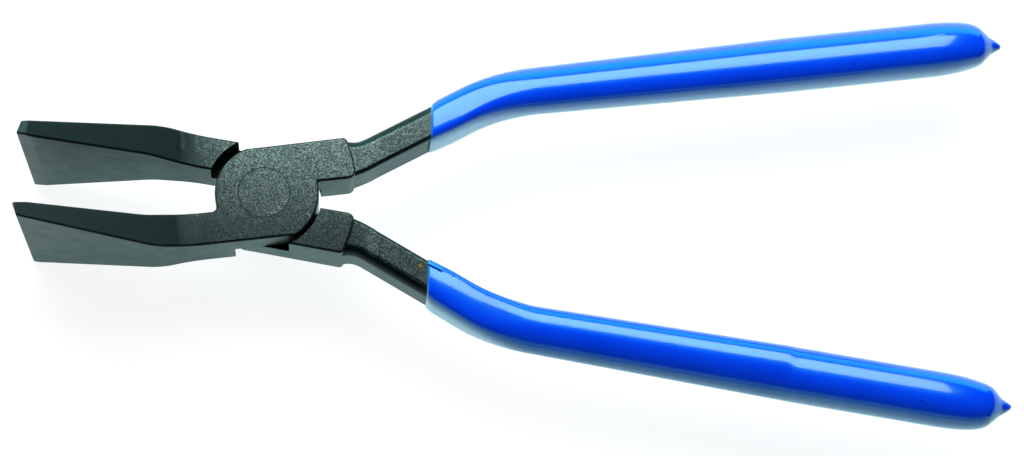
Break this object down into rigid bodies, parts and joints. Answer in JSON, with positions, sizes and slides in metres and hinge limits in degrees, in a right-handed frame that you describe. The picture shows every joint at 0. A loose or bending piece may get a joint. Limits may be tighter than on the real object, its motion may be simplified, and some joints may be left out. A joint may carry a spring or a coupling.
{
  "type": "seaming pliers",
  "caption": "Lap-joint seaming pliers with wide flared flat jaws for folding sheet-metal edges, and bent handles in dipped sleeves.",
  "frame": {"origin": "centre of the rivet's near head, level with the near plate's face; the joint's axis runs through it", "axes": "+X from the rivet to the handles along the pliers' middle line, +Y towards the front half's handle, +Z out of the near face along the rivet"},
  "size_m": [0.2772, 0.1194, 0.0534],
  "materials": {
    "forged_steel": "black phosphated, fine blasted grain",
    "rivet_steel": "black phosphated, dressed flush",
    "dipped_plastic": "gloss"
  },
  "bodies": {
    "front_side": {"front_half": "forged_steel", "rivet": "rivet_steel", "front_grip": "dipped_plastic"},
    "rear_side": {"rear_half": "forged_steel", "rear_grip": "dipped_plastic"}
  },
  "joints": [
    {"name": "lap_joint", "type": "hinge", "parent": "front_side", "child": "rear_side", "pos_m": [0, 0, 0], "axis": [0, 0, 1], "range_deg": [-54, 16.4]}
  ]
}
